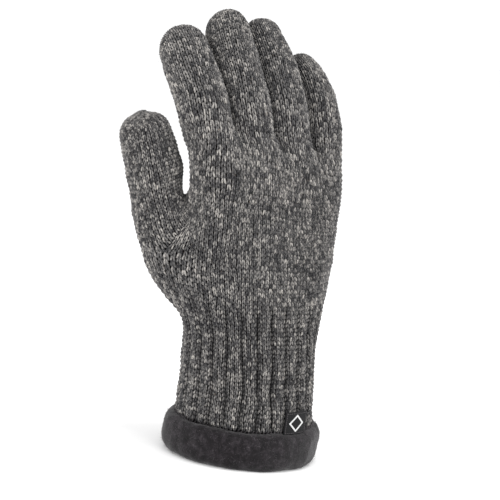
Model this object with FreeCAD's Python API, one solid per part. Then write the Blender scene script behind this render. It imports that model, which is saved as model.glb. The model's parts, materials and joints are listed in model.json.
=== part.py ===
import FreeCAD
import Part
import math
import os
from FreeCAD import Vector

# A right-hand knitted glove with a fleece lining, in millimetres.
# +Z runs from the cuff to the fingertips, the back of the hand faces -Y and the thumb is at -X.
# The origin is the centre of the cuff opening, so z = 0 is the lowest edge of the glove.
# The glove is stored as it stands on a relaxed hand: the fingers already curl toward the palm,
# and each bend below is counted from straight, in degrees, positive toward the palm.

os.makedirs("parts", exist_ok=True)

# --- fabric
knitWall = 3.0
liningWall = 2.0
layerGap = 0.15       # between the knit and the lining of one piece
bendGap = 0.35        # between two pieces that bend against each other

# --- cuff and hand: height, then the middle, half width and half depth of the glove there.
# The cuff sits a little to the little-finger side of the palm, as on a hand at rest.
hemHeight = 22.8
wristHeight = 70.0
wristBends = (-40.0, 45.0)
handSections = (
    (0.0, 0.0, 42.5, 37.5), (hemHeight, 0.0, 42.0, 37.0), (44.0, -1.3, 41.3, 34.5),
    (wristHeight, -4.2, 41.5, 32.0), (94.0, -6.2, 46.3, 30.5), (118.0, -7.2, 49.6, 29.0),
    (144.0, -7.2, 50.0, 26.5), (166.0, -7.0, 50.2, 24.0), (184.0, -7.0, 50.0, 21.5))
knuckleHeight = 157.5    # above here the back of the hand curls toward the palm
knuckleCurl = 18.0       # degrees of curl reached at the foot of the fingers
knuckleRise = 30.0       # length over which it is reached

# --- turned-back lining below the hem
rollHeight = 21.8
rollBulge = 6.5
rollShift = 0.6
hemThread = 0.9

# --- woven label on the back of the cuff, near its little-finger side
labelWidth = 15.5
labelHeight = 13.5
labelThick = 0.8
labelTurn = 20.0         # degrees round the cuff from the middle of the back
markSize = 3.6
markLine = 1.0
markThick = 0.3
stitchLong = 1.5
stitchWide = 0.45
stitchStep = 2.3

# --- fingers: foot is where the finger leaves the hand, lean is its fan angle toward +X,
# hinges are the distances of its joints from the foot, and rest, low and high are their bends
fingers = {
    "index": {
        "foot": (-46.0, 8.5, 191.0), "lean": -2.0, "half": (12.8, 14.2), "length": 71.0,
        "hinges": (10.0, 32.0, 54.0), "rest": (27.0, 3.0, 40.0),
        "low": (2.0, -5.0, 20.0), "high": (62.0, 50.0, 56.0)},
    "middle": {
        "foot": (-20.2, 6.0, 190.0), "lean": 0.3, "half": (12.6, 14.2), "length": 81.0,
        "hinges": (10.0, 33.0, 57.0), "rest": (22.0, 2.0, 3.0),
        "low": (-3.0, -5.0, -5.0), "high": (62.0, 62.0, 40.0)},
    "ring": {
        "foot": (5.0, 2.5, 186.0), "lean": 0.6, "half": (12.3, 13.6), "length": 85.0,
        "hinges": (12.0, 35.0, 58.0), "rest": (20.0, 10.0, 4.0),
        "low": (-5.0, -5.0, -5.0), "high": (60.0, 64.0, 42.0)},
    "little": {
        "foot": (29.6, 4.5, 181.0), "lean": 3.8, "half": (11.0, 12.2), "length": 73.0,
        "hinges": (10.0, 32.0, 52.0), "rest": (14.0, 26.0, 10.0),
        "low": (-8.0, -5.0, -5.0), "high": (56.0, 66.0, 50.0)}}
fingerTaper = 0.4        # lost from each half size at every joint
fingertip = 12.5         # length of the rounded end
closingRadius = 2.0      # hole left by the last round of stitches, drawn shut with yarn

# --- thumb, along one line from its foot inside the heel of the hand
thumb = {
    "foot": (-51.0, 16.5, 110.0), "along": (-0.325, 0.105, 0.94), "toward": (0.62, 0.78, 0.0),
    "half": (16.0, 16.0), "length": 90.0, "hinges": (47.0, 70.0), "rest": (0.0, 0.0),
    "low": (-20.0, -8.0), "high": (25.0, 40.0)}
thumbSections = ((-26.0, 10.5), (0.0, 17.5), (24.0, 17.2))    # distance from the foot, radius

poleAngle = 0.1          # radians left off each end of a bend's ball, so it has flat ends
reach = 60.0             # cutting solids run this far past what they cut


def placed(shape, origin, along, toward):
    """The shape moved so its Z lies along one direction and its Y leans to the other."""
    z = Vector(along).normalize()
    y = (Vector(toward) - z * z.dot(Vector(toward))).normalize()
    x = y.cross(z)
    matrix = FreeCAD.Matrix(
        x.x, y.x, z.x, origin[0], x.y, y.y, z.y, origin[1], x.z, y.z, z.z, origin[2], 0, 0, 0, 1)
    moved = shape.copy()
    moved.Placement = FreeCAD.Placement(matrix).multiply(shape.Placement)
    return moved


def ovalCurve(halfX, halfY, z=0.0):
    centre = Vector(0, 0, z)
    if halfX >= halfY:
        return Part.Ellipse(Vector(halfX, 0, z), Vector(0, halfY, z), centre)
    return Part.Ellipse(Vector(0, halfY, z), Vector(-halfX, 0, z), centre)


def oval(halfX, halfY, z=0.0):
    return Part.Wire(ovalCurve(halfX, halfY, z).toShape())


def barrel(halfX, halfY):
    """A solid of revolution about X: it fills the same space however the finger bends."""
    start = (0.0 if halfX >= halfY else -math.pi / 2) + poleAngle
    arc = ovalCurve(halfX, halfY).toShape(start, start + math.pi - 2 * poleAngle)
    first, last = (vertex.Point for vertex in (arc.firstVertex(), arc.lastVertex()))
    feet = [Vector(point.x, 0, 0) for point in (last, first)]
    edges = [Part.LineSegment(*ends).toShape() for ends in zip((last, *feet), (*feet, first))]
    return Part.Face(Part.Wire([arc] + edges)).revolve(Vector(0, 0, 0), Vector(1, 0, 0), 360)


def bendPrism(size, top=None, bottom=None, height=0.0):
    """What one piece may fill between its two bends, so that it clears its neighbours."""
    gap = bendGap / 2

    def slope(angle):
        return size * math.tan(math.radians(angle) / 2)

    points = [Vector(0, -size, -reach), Vector(0, size, -reach)]
    if bottom:
        low, high = bottom
        points = [Vector(0, -size, gap - slope(low)), Vector(0, 0, gap), Vector(0, size, gap + slope(high))]
    if top:
        low, high = top
        points += [Vector(0, size, height - gap - slope(high)), Vector(0, 0, height - gap),
                   Vector(0, -size, height - gap + slope(low))]
    else:
        points += [Vector(0, size, height + 3 * reach), Vector(0, -size, height + 3 * reach)]
    face = Part.Face(Part.makePolygon(points + points[:1]))
    face.translate(Vector(-size, 0, 0))
    return face.extrude(Vector(2 * size, 0, 0))


def spine(height):
    """Point on the middle of the hand and the direction of the hand there."""
    turn = math.radians(knuckleCurl) * min(max((height - knuckleHeight) / knuckleRise, 0.0), 1.0)
    radius = knuckleRise / math.radians(knuckleCurl)
    past = max(height - knuckleHeight - knuckleRise, 0.0)
    y = radius * (1 - math.cos(turn)) + past * math.sin(turn)
    z = min(height, knuckleHeight) + radius * math.sin(turn) + past * math.cos(turn)
    return Vector(0, y, z), Vector(0, math.sin(turn), math.cos(turn))


def handForm(inset):
    """The cuff and palm as one closed form, this far inside the outer face of the knit."""
    wires = []
    for height, middle, halfX, halfY in handSections:
        top = inset if height == handSections[-1][0] else 0.0
        origin, along = spine(height - top)
        origin.x = middle
        wires.append(placed(oval(halfX - inset, halfY - inset), origin, along, (0, 1, 0)))
    return Part.makeLoft(wires, True, False)


def straightForm(size, inset, low, high, taper=0.0):
    """A stretch of finger or thumb; it narrows by taper over each millimetre."""
    wires = []
    for z in (low, high):
        wires.append(oval(size[0] - inset - taper * z, size[1] - inset - taper * z, z))
    return Part.makeLoft(wires, True, True)


def tipForm(size, inset, length, taper):
    """The last stretch, with its rounded end."""
    end = length - fingertip
    halfX = size[0] - inset - taper * end
    halfY = size[1] - inset - taper * end
    matrix = FreeCAD.Matrix()
    matrix.scale(halfX, halfY, fingertip - inset)
    cap = Part.makeSphere(1.0).transformGeometry(matrix)
    cap.translate(Vector(0, 0, end))
    return straightForm(size, inset, -reach / 4, end, taper).fuse(cap)


def fingerFrames(finger):
    """Foot and joints of a finger: where each is and the way the finger runs from it."""
    lean = math.radians(finger["lean"])
    up = Vector(math.sin(lean), 0, math.cos(lean))
    palm = Vector(0, 1, 0)
    angle = math.radians(knuckleCurl)
    along = up * math.cos(angle) + palm * math.sin(angle)
    frames = [(Vector(*finger["foot"]), along)]
    done = 0.0
    for distance, bend in zip(finger["hinges"], finger["rest"]):
        origin = frames[-1][0] + frames[-1][1] * (distance - done)
        done = distance
        angle += math.radians(bend)
        frames.append((origin, up * math.cos(angle) + palm * math.sin(angle)))
    return frames


def thumbFrames():
    foot = Vector(*thumb["foot"])
    along = Vector(*thumb["along"]).normalize()
    return [(foot, along)] + [(foot + along * distance, along) for distance in thumb["hinges"]]


def sizeAt(piece, joint):
    return tuple(half - fingerTaper * joint for half in piece["half"])


def digitForm(piece, inset, extra):
    """The foot of a finger inside the hand, running past its first joint by extra."""
    halfX, halfY = (half - inset for half in piece["half"])
    if piece is thumb:
        wires = [oval(radius - inset, radius - inset, z) for z, radius in thumbSections]
        hinge = piece["hinges"][0]
        wires += [oval(halfX, halfX, z) for z in (hinge - 4, hinge + extra)]
        return Part.makeLoft(wires, True, False)
    wires = [oval(halfX - shrink, halfY - shrink, z) for z, shrink in ((-34.0, 4.5), (-10.0, 0.4))]
    wires += [oval(halfX, halfY, z) for z in (0.0, piece["hinges"][0] + extra)]
    return Part.makeLoft(wires, True, False)


digits = dict(fingers, thumb=thumb)
frames = {name: fingerFrames(finger) for name, finger in fingers.items()}
frames["thumb"] = thumbFrames()
towards = {name: (0, 1, 0) for name in fingers}
towards["thumb"] = thumb["toward"]


def bends(piece, joint):
    return piece["low"][joint], piece["high"][joint]


def save(name, shape):
    shape.exportStep("parts/" + name + ".step")
    state = "valid" if shape.isValid() else "BROKEN"
    print(name, len(shape.Solids), round(shape.Volume), state)


def handBody(inset, trimmed):
    """The hand with the feet of all five digits, filled solid."""
    form = handForm(inset)
    for name, piece in digits.items():
        foot = digitForm(piece, inset, reach / 4)
        if trimmed:
            foot = foot.common(bendPrism(reach, top=bends(piece, 0), height=piece["hinges"][0]))
        form = form.fuse(placed(foot, *frames[name][0], towards[name]))
    return form


def wristPrism(bottom):
    """The half of the glove above or below the wrist bend."""
    if bottom:
        prism = bendPrism(3 * reach, top=wristBends)
    else:
        prism = bendPrism(3 * reach, bottom=wristBends)
    prism.translate(Vector(0, 0, wristHeight))
    return prism


def makeHand():
    save("hand_knit", handBody(0.0, True).cut(handBody(knitWall, False)).common(wristPrism(False)))
    outer = knitWall + layerGap
    inner = handBody(outer + liningWall, False)
    lining = handBody(outer, True)
    ball = barrel(*(half - outer + bendGap / 2 for half in wristSize))
    ball.translate(wristCentre)
    lining = lining.common(wristPrism(False)).cut(ball)
    for name, piece in digits.items():
        halfX, halfY = (half - outer - layerGap for half in sizeAt(piece, 0))
        ball = placed(barrel(halfX, halfY), *frames[name][1], towards[name])
        lining = lining.fuse(ball)
    save("hand_lining", lining.cut(inner))


def makeCuff():
    low = Part.makeBox(4 * reach, 4 * reach, 4 * reach, Vector(-2 * reach, -2 * reach, hemHeight))
    knit = handForm(0.0).cut(handForm(knitWall)).common(wristPrism(True)).common(low)
    save("cuff_rib_knit", knit)
    outer = knitWall + layerGap
    lining = handForm(outer).common(wristPrism(True)).common(low)
    ball = barrel(*(half - outer - bendGap / 2 for half in wristSize))
    ball.translate(wristCentre)
    save("cuff_lining", lining.fuse(ball).cut(handForm(outer + liningWall)))

    halfX, halfY = handSections[1][2:]
    ring = straightForm((halfX - 0.6, halfY - 0.6), 0.0, hemHeight - hemThread, hemHeight - 0.05)
    hole = straightForm((halfX - knitWall, halfY - knitWall), 0.0, 0.0, hemHeight + 1)
    save("hem_seam_thread", ring.cut(hole))


def makeRoll():
    halfX, halfY = handSections[1][2:]
    wires = []
    for part in (0.0, 0.08, 0.25, 0.5, 0.75, 0.92, 1.0):
        swell = rollBulge * math.sqrt(max(1 - (2 * part - 1) ** 2, 0.0)) - 1.2
        wire = oval(halfX + swell, halfY + swell, rollHeight * part)
        wire.translate(Vector(-rollShift * math.sin(math.pi * part), 0, 0))
        wires.append(wire)
    inset = knitWall + layerGap + liningWall
    bore = straightForm((halfX - inset, halfY - inset), 0.0, -1.0, rollHeight + 1)
    save("turned_back_lining", Part.makeLoft(wires, True, False).cut(bore))


def labelPatch(width, height, inset, thick, across=0.0, up=0.0):
    """A thin patch that follows the outside of the cuff."""
    box = Part.makeBox(width, height, 2 * reach, Vector(across - width / 2, up - height / 2, 0))
    turn = math.radians(labelTurn)
    out = Vector(math.sin(turn), -math.cos(turn), 0)
    box = placed(box, (0, 0, hemHeight + labelHeight / 2), out, (0, 0, 1))
    return handForm(-inset - thick).cut(handForm(-inset)).common(box)


def makeLabel():
    face = layerGap + labelThick
    save("woven_label", labelPatch(labelWidth, labelHeight, layerGap, labelThick))

    outline = []
    for size in (markSize, markSize - markLine * math.sqrt(2)):
        corners = [Vector(size, 0, 0), Vector(0, size, 0), Vector(-size, 0, 0), Vector(0, -size, 0)]
        prism = Part.Face(Part.makePolygon(corners + corners[:1])).extrude(Vector(0, 0, 2 * reach))
        outline.append(prism)
    turn = math.radians(labelTurn)
    out = Vector(math.sin(turn), -math.cos(turn), 0)
    diamond = placed(outline[0].cut(outline[1]), (0, 0, hemHeight + labelHeight / 2), out, (0, 0, 1))
    save("label_mark", handForm(-face - markThick).cut(handForm(-face)).common(diamond))

    stitches = []
    inX = labelWidth / 2 - 0.9
    inZ = labelHeight / 2 - 0.9
    across = int(2 * inX / stitchStep)
    for i in range(across + 1):
        x = (i - across / 2) * stitchStep
        for up in (-inZ, inZ):
            stitches.append(labelPatch(stitchLong, stitchWide, face, markThick, x, up))
    rising = int(2 * inZ / stitchStep) - 1
    for i in range(rising + 1):
        z = (i - rising / 2) * stitchStep
        for x in (-inX, inX):
            stitches.append(labelPatch(stitchWide, stitchLong, face, markThick, x, z))
    save("label_stitching", Part.makeCompound(stitches))


def makeSegment(name, part, joint):
    """Knit and lining of a finger between two of its joints."""
    piece = digits[name]
    size = sizeAt(piece, joint)
    length = piece["hinges"][joint + 1] - piece["hinges"][joint]
    taper = fingerTaper / length
    outer = knitWall + layerGap
    side = (-reach / 4, length + reach / 4)
    prism = bendPrism(reach, top=bends(piece, joint + 1), bottom=bends(piece, joint), height=length)
    knit = straightForm(size, 0.0, *side, taper).cut(straightForm(size, knitWall, *side, taper))
    save(f"{name}_{part}_knit", placed(knit.common(prism), *frames[name][joint + 1], towards[name]))

    lower = barrel(*(half - outer + bendGap / 2 for half in size))
    upper = barrel(*(half - outer - layerGap for half in sizeAt(piece, joint + 1)))
    upper.translate(Vector(0, 0, length))
    lining = straightForm(size, outer, *side, taper).common(prism).cut(lower).fuse(upper)
    lining = lining.cut(straightForm(size, outer + liningWall, *side, taper))
    save(f"{name}_{part}_lining", placed(lining, *frames[name][joint + 1], towards[name]))


def makeTip(name):
    """Knit, lining and closing yarn past the last joint."""
    piece = digits[name]
    joint = len(piece["hinges"]) - 1
    size = sizeAt(piece, joint)
    length = piece["length"] - piece["hinges"][joint]
    taper = fingerTaper / length
    outer = knitWall + layerGap
    prism = bendPrism(reach, bottom=bends(piece, joint))
    shell = tipForm(size, 0.0, length, taper).cut(tipForm(size, knitWall, length, taper)).common(prism)
    hole = Part.makeCylinder(closingRadius, 2 * fingertip, Vector(0, 0, length - fingertip))
    plug = Part.makeCylinder(closingRadius - layerGap, 2 * fingertip, Vector(0, 0, length - fingertip))
    frame = frames[name][joint + 1]
    save(f"{name}_tip_knit", placed(shell.cut(hole), *frame, towards[name]))
    save(f"{name}_closing_yarn", placed(shell.common(plug), *frame, towards[name]))

    ball = barrel(*(half - outer + bendGap / 2 for half in size))
    lining = tipForm(size, outer, length, taper).common(prism).cut(ball)
    lining = lining.cut(tipForm(size, outer + liningWall, length, taper))
    save(f"{name}_tip_lining", placed(lining, *frame, towards[name]))


wristSize = handSections[3][2:]
wristCentre = Vector(handSections[3][1], 0, wristHeight)
makeRoll()
makeCuff()
makeLabel()
makeHand()
for finger in fingers:
    makeSegment(finger, "root", 0)
    makeSegment(finger, "middle", 1)
    makeTip(finger)
makeSegment("thumb", "root", 0)
makeTip("thumb")
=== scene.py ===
import json
import math

import bmesh
import bpy
import numpy as np
from mathutils import Matrix, Vector, noise


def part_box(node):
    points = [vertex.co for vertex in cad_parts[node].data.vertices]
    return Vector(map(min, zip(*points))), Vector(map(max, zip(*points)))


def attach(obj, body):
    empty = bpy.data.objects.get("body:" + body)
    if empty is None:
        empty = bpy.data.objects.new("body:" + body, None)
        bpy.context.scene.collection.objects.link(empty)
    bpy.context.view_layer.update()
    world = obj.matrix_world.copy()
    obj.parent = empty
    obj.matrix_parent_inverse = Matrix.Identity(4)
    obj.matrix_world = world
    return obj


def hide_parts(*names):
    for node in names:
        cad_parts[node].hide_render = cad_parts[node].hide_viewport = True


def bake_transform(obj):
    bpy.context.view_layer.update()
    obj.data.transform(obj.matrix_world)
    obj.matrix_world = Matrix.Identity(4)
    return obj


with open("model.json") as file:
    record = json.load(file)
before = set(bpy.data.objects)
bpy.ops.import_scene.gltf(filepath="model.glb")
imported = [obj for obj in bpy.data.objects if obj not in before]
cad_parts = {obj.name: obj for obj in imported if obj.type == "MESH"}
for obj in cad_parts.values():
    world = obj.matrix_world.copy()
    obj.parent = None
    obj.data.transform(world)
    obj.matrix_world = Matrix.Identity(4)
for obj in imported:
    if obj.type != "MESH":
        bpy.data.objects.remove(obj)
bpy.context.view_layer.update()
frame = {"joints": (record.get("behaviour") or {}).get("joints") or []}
mm = 0.001

# A right-hand knitted glove: +Z to the fingertips, -Y out of the back of the hand, thumb at -X.
# Everything knitted comes off one quad cage. Each cage face holds a square of cells x cells
# stitches, so the columns of stitches run unbroken from the cuff into the fingers.
cells = 4            # what two rounds of subdivision make of a face
pathStep = 0.5 * mm
bendHalf = 9 * mm    # a finger bends over this much either side of a knuckle
joints = {joint["name"]: joint for joint in frame["joints"]}


def hinge(name):
    return Vector(joints[name]["pos_m"])


def middleOf(node):
    low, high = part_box(node)
    return (low + high) / 2


glove = {
    "hem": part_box("cuff_rib_knit")[0].z,
    "curlStart": 157.5 * mm, "curlLength": 30 * mm, "curl": math.radians(18),
    # height up the hand: middle x, half width, half depth
    "heights": [0.0, 22.8, 44, 70, 94, 118, 144, 166, 187],
    "middles": [0.0, 0.0, -1.1, -3.3, -5.2, -7.0, -7.2, -7.0, -7.0],
    "widths": [42.5, 42.0, 41.3, 41.4, 45.3, 49.8, 50.3, 50.8, 50.5],
    "depths": [37.5, 37.0, 34.5, 32.0, 30.5, 29.0, 26.5, 24.0, 21.0],
    "rows": 16, "easeSteps": 14, "waver": 1.0 * mm,
}
fingerNames = ("index", "middle", "ring", "little")
fingerParts = ("root", "middle", "tip")
columnsOf = {"index": 8, "middle": 8, "ring": 8, "little": 7}
handColumns = 25


def along(heights, values, height):
    return float(np.interp(height, np.array(heights) * mm, np.array(values) * mm))


def spine(height):
    # middle of the hand and which way it points, curling toward the palm near the knuckles
    turn = glove["curl"] * min(max((height - glove["curlStart"]) / glove["curlLength"], 0), 1)
    radius = glove["curlLength"] / glove["curl"]
    past = max(height - glove["curlStart"] - glove["curlLength"], 0)
    y = radius * (1 - math.cos(turn)) + past * math.sin(turn)
    z = min(height, glove["curlStart"]) + radius * math.sin(turn) + past * math.cos(turn)
    middle = along(glove["heights"], glove["middles"], height)
    return Vector((middle, y, z)), Vector((0, math.sin(turn), math.cos(turn)))


def fingerPath(name):
    # a bending centre line from the foot of the finger to its tip
    first = joints[f"{name}_root_bend"]
    axis = Vector(first["axis"]).normalized()
    up = Vector((0, 1, 0)).cross(axis)
    palm = Vector((0, 1, 0))
    knots = [hinge(f"{name}_{part}_bend") for part in fingerParts]
    knots.append(middleOf(f"{name}_closing_yarn"))
    runs = [b - a for a, b in zip(knots, knots[1:])]
    angles = [glove["curl"]] + [math.atan2(run.dot(palm), run.dot(up)) for run in runs]
    footDistance = fingers[name]["foot"]
    places = [footDistance]
    for run in runs[:-1]:
        places.append(places[-1] + run.length)
    length = places[-1] + runs[-1].length + fingers[name]["over"]
    foot = knots[0] - (up * math.cos(angles[0]) + palm * math.sin(angles[0])) * footDistance
    point = foot.copy()
    path = []
    for i in range(int(round((length + 14 * mm) / pathStep))):
        s = i * pathStep
        angle = angles[0]
        for place, before, after in zip(places, angles, angles[1:]):
            share = min(max((s - place + bendHalf) / (2 * bendHalf), 0), 1)
            angle += (after - before) * share
        direction = up * math.cos(angle) + palm * math.sin(angle)
        path.append((s, point.copy(), direction))
        point = point + direction * pathStep
    return {"path": path, "length": length, "axis": axis, "up": up, "places": places}


fingers = {
    "index": {"foot": 10 * mm, "over": -3.6 * mm, "width": 14.1 * mm, "depth": 14.2 * mm,
              "cap": 7.5 * mm, "bow": 2.0 * mm},
    "middle": {"foot": 10 * mm, "over": 0.6 * mm, "width": 12.6 * mm, "depth": 14.2 * mm,
               "cap": 12 * mm, "bow": 0},
    "ring": {"foot": 12 * mm, "over": 1.9 * mm, "width": 12.3 * mm, "depth": 13.6 * mm,
             "cap": 12 * mm, "bow": 0},
    "little": {"foot": 10 * mm, "over": 0.6 * mm, "width": 11.0 * mm, "depth": 12.2 * mm,
               "cap": 11 * mm, "bow": 0},
}
thumb = {
    "lower": 9 * mm, "holeRows": 3, "holeColumns": 2, "foot": 47 * mm, "tip": 70 * mm,
    "stations": [-26, 0, 24, 43, 70, 90], "radii": [8.5, 17.0, 17.5, 16.4, 14.5, 14.2],
    "cap": 10.5 * mm, "over": 1.2 * mm,
}


def pathAt(path, s):
    if s < 0:
        return path[0][1] + path[0][2] * s, path[0][2]
    i = min(int(round(s / pathStep)), len(path) - 1)
    return path[i][1], path[i][2]


def capScale(left, cap):
    # how wide the finger is this far from its tip
    if left >= cap:
        return 1.0
    return math.sqrt(max(1 - (1 - left / cap) ** 2, 0.012))


def fingerRing(name, s, swell):
    info = fingerPaths[name]
    spec = fingers[name]
    point, direction = pathAt(info["path"], s)
    side = -info["axis"]
    palm = direction.cross(side)
    scale = capScale(info["length"] - s, spec["cap"]) * (1 - 0.03 * max(s, 0) / info["length"])
    width = spec["width"] * scale * swell
    depth = spec["depth"] * scale * swell
    share = min(max(s / info["length"], 0), 1)
    point = point - Vector((spec["bow"] * math.sin(math.pi * share), 0, 0))
    return [point + side * math.cos(a) * width + palm * math.sin(a) * depth
            for a in fingerAngles[name]]


fingerPaths = {name: fingerPath(name) for name in fingerNames}
fingerAngles = {}
for name in fingerNames:
    step = 2 * math.pi / columnsOf[name]
    start = step / 2 - math.pi if name == "little" else -step / 2
    fingerAngles[name] = [start - step * i for i in range(columnsOf[name])]

# which hand-ring vertices each finger grows from; they run back, thumb side, palm, little side
handLoop = {
    "index": [0, 1, 2, 3, 4, 5, 6, 7],
    "middle": [22, 23, 24, 0, 7, 8, 9, 10],
    "ring": [19, 20, 21, 22, 10, 11, 12, 13],
    "little": [19, 13, 14, 15, 16, 17, 18],
}


def cageSize(columns):
    # a subdivided ring comes out smaller than its cage by this much
    return 1 / (2 / 3 + math.cos(2 * math.pi / columns) / 3)


def arcAngles(width, depth, startAngle):
    # angles that cut an oval into equal lengths, going round from the back to the thumb side
    fine = 720      # short chords laid round the oval
    angles = startAngle - np.linspace(0, 2 * math.pi, fine + 1)
    points = np.stack([width * np.cos(angles), depth * np.sin(angles)], 1)
    lengths = np.concatenate([[0], np.cumsum(np.linalg.norm(np.diff(points, axis=0), axis=1))])
    wanted = np.arange(handColumns) / handColumns * lengths[-1]
    return np.interp(wanted, lengths, angles)


def smooth(x):
    x = min(max(x, 0.0), 1.0)
    return x * x * (3 - 2 * x)


class Cage:
    def __init__(self):
        self.points = []
        self.faces = []      # corners, piece, row and column

    def add(self, point):
        self.points.append(Vector(point))
        return len(self.points) - 1

    def band(self, lower, upper, piece, row, skip=()):
        count = len(lower)
        for i in range(count):
            if i in skip:
                continue
            j = (i + 1) % count
            self.faces.append(((lower[j], lower[i], upper[i], upper[j]), piece, row, i))


cage = Cage()
topSum = [[Vector((0, 0, 0)), 0] for _ in range(handColumns)]
for name in fingerNames:
    ring = fingerRing(name, -2.5 * mm, cageSize(columnsOf[name]))
    for index, point in zip(handLoop[name], ring):
        topSum[index][0] += point
        topSum[index][1] += 1
topPoints = [total / number for total, number in topSum]
for index in (0, 7, 10, 13, 19, 22):     # the forks sit a little lower
    topPoints[index].z -= 1.5 * mm

rows = glove["rows"]
hemZ = glove["hem"]
handTop = 187 * mm
topCentre, topUp = spine(handTop)
topWidth = along(glove["heights"], glove["widths"], handTop) * cageSize(handColumns)


def topAngle(j, x):
    # where a point of the top ring stands on the oval, turning one way round from the back
    turn = math.acos(min(max(x, -0.985), 0.985))
    if j <= 3:
        return -turn
    if j <= 15:
        return turn - 2 * math.pi
    return -2 * math.pi - (turn if j > 16 else 0)


topAngles = []
topHeights = []
for j, point in enumerate(topPoints):
    offset = point - topCentre
    topAngles.append(topAngle(j, offset.x / topWidth))
    topHeights.append(handTop + offset.dot(topUp))
startAngle = topAngles[0]

thumbRoot = hinge("thumb_root_bend")
thumbAlong = (hinge("thumb_tip_bend") - thumbRoot).normalized()
thumbFoot = thumbRoot - thumbAlong * thumb["foot"]
thumbSide = (Vector((1, 0, 0)) - thumbAlong * thumbAlong.x).normalized()    # toward the hand
thumbBack = thumbAlong.cross(thumbSide)
if thumbBack.y > 0:
    thumbBack = -thumbBack
thumbLength = (middleOf("thumb_closing_yarn") - thumbFoot).length + thumb["over"]


def thumbRadius(s):
    return float(np.interp(s / mm, thumb["stations"], thumb["radii"])) * mm


def inThumb(point):
    offset = point - thumbFoot
    s = offset.dot(thumbAlong)
    return -26 * mm <= s <= 32 * mm and (offset - thumbAlong * s).length < thumbRadius(s) + 0.8 * mm


def outOfThumb(point, height):
    # slides a point of the hand outward until it clears the foot of the thumb
    centre = spine(height)[0]
    centre.z = point.z
    way = point - centre
    reach = way.length
    way.normalize()
    for step in range(160):
        far = (80 - 0.5 * step) * mm
        if far <= reach:
            return point
        if inThumb(centre + way * far):
            return centre + way * far
    return point


ringIds = []
for k in range(rows + 1):
    ids = []
    share = smooth((k - 7) / (rows - 7))
    flat = hemZ + (handTop - 4 * mm - hemZ) * k / rows
    for j in range(handColumns):
        if k == rows:
            ids.append(cage.add(topPoints[j]))
            continue
        height = flat + (topHeights[j] - handTop + 2 * mm) * share * (k / rows)
        origin, up = spine(height)
        palm = Vector((0, up.z, -up.y))
        width = (along(glove["heights"], glove["widths"], height) - 0.6 * mm) * cageSize(handColumns)
        depth = (along(glove["heights"], glove["depths"], height) - 0.6 * mm) * cageSize(handColumns)
        even = arcAngles(width, depth, startAngle)[j]
        angle = even * (1 - share) + topAngles[j] * share
        point = origin + Vector((1, 0, 0)) * math.cos(angle) * width + palm * math.sin(angle) * depth
        if 4 <= k <= 9:
            point = outOfThumb(point, height)
        ids.append(cage.add(point))
    ringIds.append(ids)

holeLow = 9
holeHigh = holeLow + thumb["holeRows"]
holeFirst = 4
holeLast = holeFirst + thumb["holeColumns"]
for k in range(rows):
    skip = range(holeFirst, holeLast) if holeLow <= k < holeHigh else ()
    piece = "cuff" if k < 3 else "wrist" if k < 7 else "hand"
    cage.band(ringIds[k], ringIds[k + 1], piece, k, skip=skip)

# the thumb grows out of the hole, leaning rings first and square ones after
holeLoop = [(holeHigh, holeFirst + 1), (holeHigh, holeFirst)]
holeLoop += [(k, holeFirst) for k in range(holeHigh - 1, holeLow - 1, -1)]
holeLoop += [(holeLow, holeFirst + 1), (holeLow, holeLast)]
holeLoop += [(k, holeLast) for k in range(holeLow + 1, holeHigh + 1)]
thumbColumns = len(holeLoop)


def thumbPoint(middle, lean, turn):
    s = middle + lean * math.cos(turn)
    radius = thumbRadius(middle) * cageSize(thumbColumns)
    radius *= capScale(thumbLength - middle, thumb["cap"])
    return (thumbFoot + thumbAlong * s + thumbSide * math.cos(turn) * radius
            + thumbBack * math.sin(turn) * radius)


turns = [2 * math.pi * i / thumbColumns for i in range(thumbColumns)]
lower = []
thumbIds = []
for (k, j), turn in zip(holeLoop, turns):
    index = ringIds[k][j]
    target = thumbPoint(20 * mm, 12 * mm, turn)
    weight = 0.5 - 0.45 * math.cos(turn)
    cage.points[index] = cage.points[index].lerp(target, weight)
    cage.points[index].z -= thumb["lower"] * (0.5 + 0.5 * math.cos(turn))
    lower.append(index)
thumbRows = [(28.5, 9.5), (36.5, 6), (44.5, 2.5), (53.5, 0), (63, 0), (72.5, 0)]
thumbEnd = thumbLength / mm
thumbRows += [(thumbEnd - 9, 0), (thumbEnd - 3.2, 0), (thumbEnd + 0.6, 0)]
for row, (middle, lean) in enumerate(thumbRows):
    upper = [cage.add(thumbPoint(middle * mm, lean * mm, turn)) for turn in turns]
    thumbIds.append(upper)
    piece = "thumb_root" if row < 5 else "thumb_tip"
    cage.band(lower, upper, piece, row)
    lower = upper

# how far along each finger its rings stand
for name in fingerNames:
    info = fingerPaths[name]
    length = info["length"] / mm
    swell = cageSize(columnsOf[name])
    stops = [8.5, 20.5, 32.5, 44.5, 55, 63.5] if length > 78 else [8.5, 20, 31.5, 43.5, 53.5]
    stops = [s for s in stops if s < length - 9] + [length - 7.5, length - 2.6, length + 0.5]
    lower = [ringIds[rows][index] for index in handLoop[name]]
    for row, s in enumerate(stops):
        upper = [cage.add(point) for point in fingerRing(name, s * mm, swell)]
        part = "root" if row < 2 else "middle" if row < 4 else "tip"
        cage.band(lower, upper, f"{name}_{part}", row)
        lower = upper

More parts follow.
